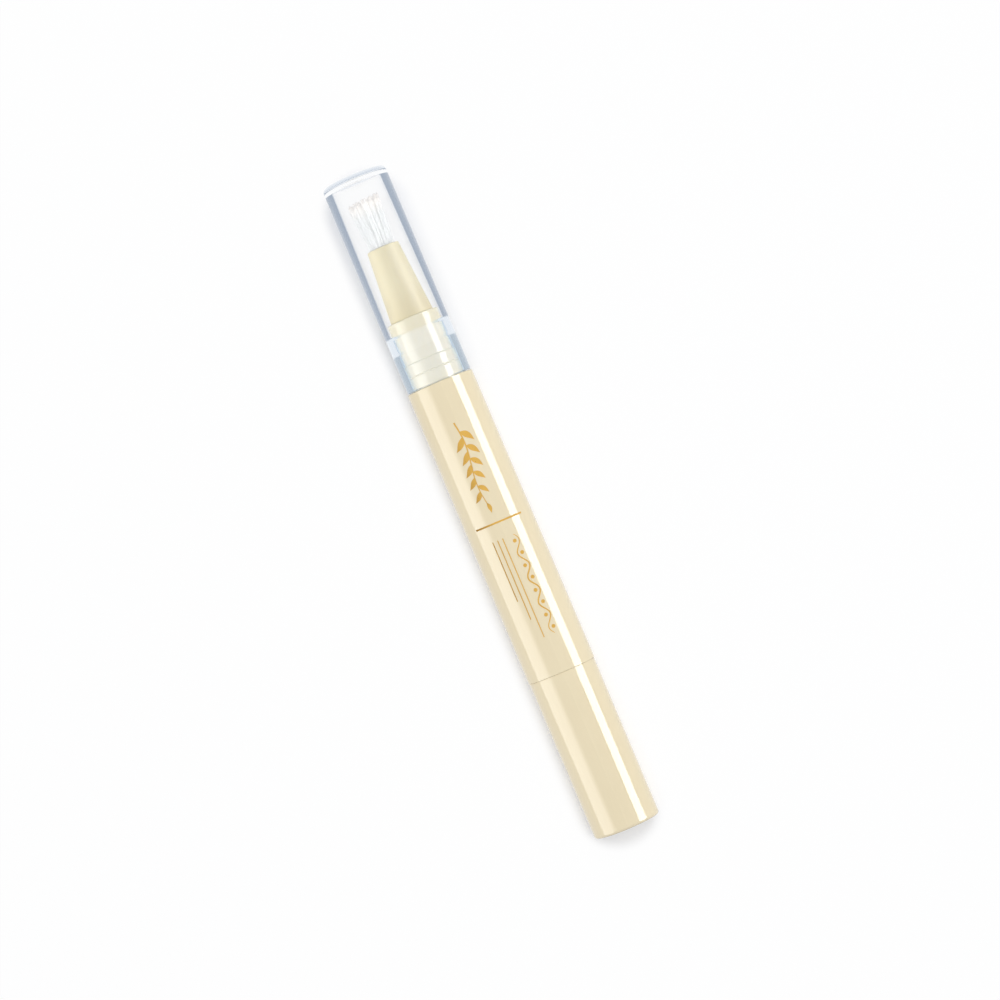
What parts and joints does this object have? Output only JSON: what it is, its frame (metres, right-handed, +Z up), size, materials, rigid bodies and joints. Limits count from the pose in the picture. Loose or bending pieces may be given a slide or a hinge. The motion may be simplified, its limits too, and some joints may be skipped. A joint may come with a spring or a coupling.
{
  "type": "nail oil pen",
  "caption": "Slim twist pen for nail and cuticle oil: cream tapered barrel, turning end knob, clear pull-off cap over a nylon brush in a conical nozzle.",
  "frame": {"origin": "middle of the pen's length, at the lowest line of its barrel, under its axis", "axes": "+X along the pen from the knob to the cap, +Z up, the pen level"},
  "size_m": [0.1422, 0.0144, 0.0144],
  "materials": {
    "cream_moulding": "gloss, moulded in colour",
    "nozzle_moulding": "satin, moulded in colour",
    "clear_cap": "clear, polished mould",
    "natural_moulding": "natural white, moulded",
    "acetal_moulding": "white, moulded",
    "nylon_filament": "drawn filament, cut ends",
    "seal_rubber": "moulded",
    "piston_moulding": "soft, waxy",
    "steel_tube": "drawn"
  },
  "bodies": {
    "barrel": {"barrel": "cream_moulding", "reservoir": "natural_moulding", "neck": "natural_moulding", "neck_seal": "seal_rubber", "nozzle": "nozzle_moulding", "brush_tuft": "nylon_filament", "brush_retainer": "natural_moulding", "feed_tube": "steel_tube", "thread_nut": "acetal_moulding", "ratchet_ring": "acetal_moulding"},
    "cap": {"cap": "clear_cap"},
    "knob": {"knob": "cream_moulding", "drive_tube": "acetal_moulding", "click_pawl": "acetal_moulding"},
    "rod": {"screw_rod": "acetal_moulding"},
    "piston": {"piston": "piston_moulding"}
  },
  "joints": [
    {"name": "cap_pull", "type": "slide", "parent": "barrel", "child": "cap", "axis": [1, 0, 0], "range_m": [0, 0.05]},
    {"name": "knob_twist", "type": "hinge", "parent": "barrel", "child": "knob", "pos_m": [-0.05415, 0, 0.00721], "axis": [1, 0, 0], "range_deg": [0, 2760], "deforming": ["click_pawl"]},
    {"name": "rod_advance", "type": "slide", "parent": "knob", "child": "rod", "axis": [1, 0, 0], "range_m": [0, 0.02301]},
    {"name": "piston_advance", "type": "slide", "parent": "barrel", "child": "piston", "axis": [1, 0, 0], "range_m": [0, 0.02301]}
  ],
  "couplings": [
    {"joint": "rod_advance", "follows": "knob_twist", "m_per_rad": 0.00047746},
    {"joint": "piston_advance", "follows": "knob_twist", "m_per_rad": 0.00047746}
  ]
}
